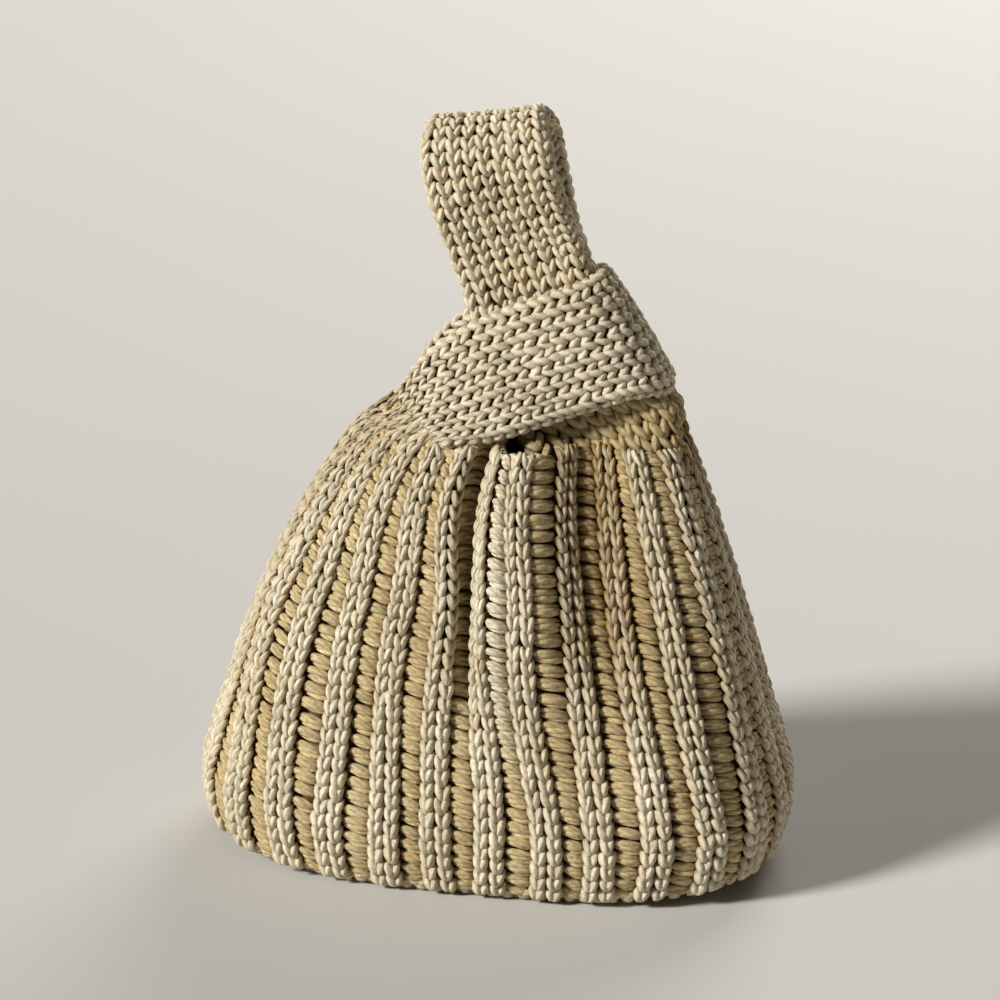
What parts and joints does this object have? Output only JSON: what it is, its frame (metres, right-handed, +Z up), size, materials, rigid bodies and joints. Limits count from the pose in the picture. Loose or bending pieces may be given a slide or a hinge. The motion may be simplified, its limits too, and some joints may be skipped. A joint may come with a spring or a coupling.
{
  "type": "knot bag",
  "caption": "Ribbed knitted knot bag with an oval base, closed by a long handle that runs up through the loop of a short one and folds over into a wrist loop.",
  "frame": {"origin": "on the floor below the middle of the oval base", "axes": "+Z up, front towards -Y, +X to the right seen from the front, on the long handle's side"},
  "size_m": [0.2423, 0.1236, 0.3208],
  "materials": {
    "ribbed_yarn": "chunky cream-beige yarn in ribbed knit, soft and matt",
    "strap_yarn": "chunky cream-beige yarn in plain knit, soft and matt",
    "seam_yarn": "the same yarn drawn tight along a seam, soft and matt"
  },
  "bodies": {
    "bag": {"base_panel": "ribbed_yarn", "base_seam": "seam_yarn", "front_panel": "ribbed_yarn", "back_panel": "ribbed_yarn", "left_side_seam": "seam_yarn", "right_side_seam": "seam_yarn", "front_hem": "ribbed_yarn", "back_hem": "ribbed_yarn", "short_handle_front_leg": "strap_yarn", "short_handle_back_leg": "strap_yarn", "long_handle_front_leg": "strap_yarn", "long_handle_back_leg": "strap_yarn"},
    "short_handle": {"short_handle_loop": "strap_yarn"},
    "long_handle_neck": {"long_handle_front_neck": "strap_yarn", "long_handle_back_neck": "strap_yarn"},
    "wrist_loop": {"long_handle_wrist_loop": "strap_yarn"}
  },
  "joints": [
    {"name": "short_handle_lift", "type": "hinge", "parent": "bag", "child": "short_handle", "pos_m": [-0.02455, 0, 0.21848], "axis": [0, -1, 0], "range_deg": [0, 6]},
    {"name": "long_handle_pull", "type": "slide", "parent": "bag", "child": "long_handle_neck", "axis": [-0.3256, 0, 0.9455], "range_m": [0, 0.018]},
    {"name": "wrist_loop_fold", "type": "hinge", "parent": "long_handle_neck", "child": "wrist_loop", "pos_m": [0.00605, 0, 0.25863], "axis": [0.9455, 0, 0.3256], "range_deg": [-70, 70]}
  ]
}
